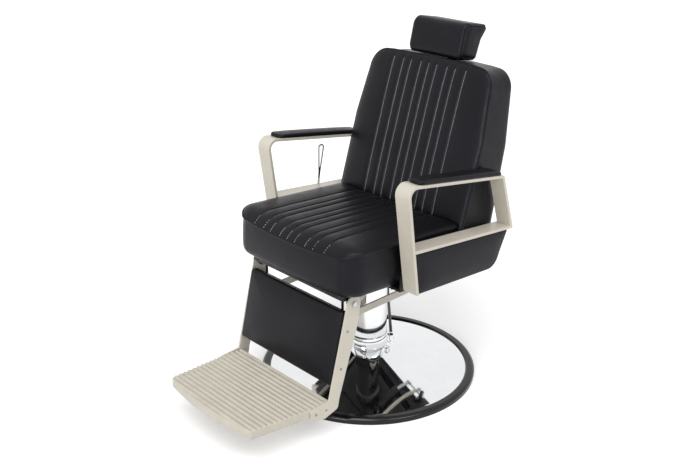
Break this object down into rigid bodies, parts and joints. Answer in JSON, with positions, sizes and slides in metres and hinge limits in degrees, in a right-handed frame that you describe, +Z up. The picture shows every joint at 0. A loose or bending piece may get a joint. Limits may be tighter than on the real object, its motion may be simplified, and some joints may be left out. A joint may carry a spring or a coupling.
{
  "type": "hydraulic barber chair",
  "caption": "Hydraulic barber chair with a round chrome base, ribbed footrest, padded arms, channelled black upholstery and an adjustable headrest.",
  "frame": {"origin": "centre of the base at floor level", "axes": "+Z up along the column; -Y the way the sitter faces; +X to the sitter's left"},
  "size_m": [0.6679, 0.9969, 1.0518],
  "materials": {
    "upholstery": "satin",
    "frame_paint": "satin",
    "chassis_paint": "satin",
    "trim_black": "gloss",
    "chrome": "gloss",
    "steel": "satin",
    "cast_iron": "matte",
    "cast_aluminium": "satin",
    "bronze": "satin",
    "rubber": "matte",
    "plywood": "matte"
  },
  "bodies": {
    "base": {"base_plate": "steel", "base_cover": "chrome", "base_trim_ring": "trim_black", "pump_housing": "cast_iron", "housing_bolts": "steel", "gland_nut": "steel", "pump_collar": "chrome", "collar_screw": "chrome"},
    "pump_pedal": {"pump_shaft": "steel", "pump_lever": "chassis_paint", "pedal_sleeve": "rubber"},
    "lift": {"lift_ram": "steel", "column_sleeve": "chrome", "thrust_washer": "bronze"},
    "seat": {"swivel_hub": "cast_iron", "hub_bolts": "steel", "chassis_plate": "chassis_paint", "chassis_rail_left": "chassis_paint", "chassis_rail_right": "chassis_paint", "crossmember_front": "chassis_paint", "crossmember_rear": "chassis_paint", "arm_bar_front": "chassis_paint", "arm_bar_rear": "chassis_paint", "arm_bolts": "steel", "legrest_brackets": "chassis_paint", "pivot_bolts": "steel", "stop_rods": "chassis_paint", "stop_buffers": "rubber", "back_brackets": "chassis_paint", "cylinder_bracket": "chassis_paint", "seat_cushion": "upholstery", "seat_board": "plywood", "arm_frame_left": "frame_paint", "arm_frame_right": "frame_paint", "arm_pad_left": "upholstery", "arm_pad_right": "upholstery", "side_panel_left": "upholstery", "side_panel_right": "upholstery", "lever_bearing": "steel"},
    "recline_handle": {"recline_lever": "chrome"},
    "back": {"backrest_cushion": "upholstery", "back_arm_left": "chassis_paint", "back_arm_right": "chassis_paint", "back_arm_pins": "steel", "headrest_guide": "chassis_paint"},
    "head_post": {"headrest_post": "chrome"},
    "head": {"headrest_carrier": "chrome", "tilt_pin": "steel", "headrest_cushion": "upholstery"},
    "legrest": {"leg_plate_left": "frame_paint", "leg_plate_right": "frame_paint", "footrest": "cast_aluminium", "calf_pad": "upholstery", "calf_board": "chassis_paint", "cross_rod": "steel", "leg_screws": "steel"},
    "link_left": {"link_bar_left": "frame_paint"},
    "link_right": {"link_bar_right": "frame_paint"},
    "barrel": {"recline_barrel": "chassis_paint"},
    "rod": {"recline_rod": "steel"}
  },
  "joints": [
    {"name": "pump", "type": "hinge", "parent": "base", "child": "pump_pedal", "pos_m": [0.04603, 0.05006, 0.106], "axis": [-0.6769, -0.7361, 0], "range_deg": [0, 14], "stiffness_Nm_per_rad": 15, "springref_deg": -17.19},
    {"name": "lift", "type": "slide", "parent": "base", "child": "lift", "axis": [0, 0, 1], "range_m": [0, 0.15]},
    {"name": "swivel", "type": "hinge", "parent": "lift", "child": "seat", "pos_m": [0, 0, 0.36], "axis": [0, 0, 1], "continuous": true},
    {"name": "recline_release", "type": "hinge", "parent": "seat", "child": "recline_handle", "pos_m": [-0.325, 0.074, 0.4373], "axis": [1, 0, 0], "range_deg": [0, 20], "stiffness_Nm_per_rad": 2, "springref_deg": -17.19},
    {"name": "recline", "type": "hinge", "parent": "seat", "child": "back", "pos_m": [0, 0.205, 0.388], "axis": [-1, 0, 0], "range_deg": [0, 35]},
    {"name": "legrest_swing", "type": "hinge", "parent": "seat", "child": "legrest", "pos_m": [0, -0.255, 0.38], "axis": [-1, 0, 0], "range_deg": [0, 35]},
    {"name": "link_left_swing", "type": "hinge", "parent": "legrest", "child": "link_left", "pos_m": [0.147, -0.255, 0.309], "axis": [-1, 0, 0], "range_deg": [-35, 0]},
    {"name": "link_right_swing", "type": "hinge", "parent": "legrest", "child": "link_right", "pos_m": [-0.147, -0.255, 0.309], "axis": [-1, 0, 0], "range_deg": [-35, 0]},
    {"name": "cylinder_swing", "type": "hinge", "parent": "seat", "child": "barrel", "pos_m": [0.1, -0.04, 0.352], "axis": [1, 0, 0], "range_deg": [0, 1.6]},
    {"name": "cylinder_slide", "type": "slide", "parent": "barrel", "child": "rod", "axis": [0, 0.9997, -0.0245], "range_m": [-0.0247, 0]},
    {"name": "headrest_lift", "type": "slide", "parent": "back", "child": "head_post", "axis": [0, 0.1908, 0.9816], "range_m": [0, 0.1]},
    {"name": "headrest_tilt", "type": "hinge", "parent": "head_post", "child": "head", "pos_m": [0, 0.35208, 0.96676], "axis": [-1, 0, 0], "range_deg": [0, 35]}
  ],
  "couplings": [
    {"joint": "legrest_swing", "follows": "recline", "ratio": 1},
    {"joint": "link_left_swing", "follows": "recline", "ratio": -1},
    {"joint": "link_right_swing", "follows": "recline", "ratio": -1},
    {"joint": "cylinder_swing", "follows": "recline", "ratio": 0.0423},
    {"joint": "cylinder_slide", "follows": "recline", "m_per_rad": -0.0402}
  ]
}
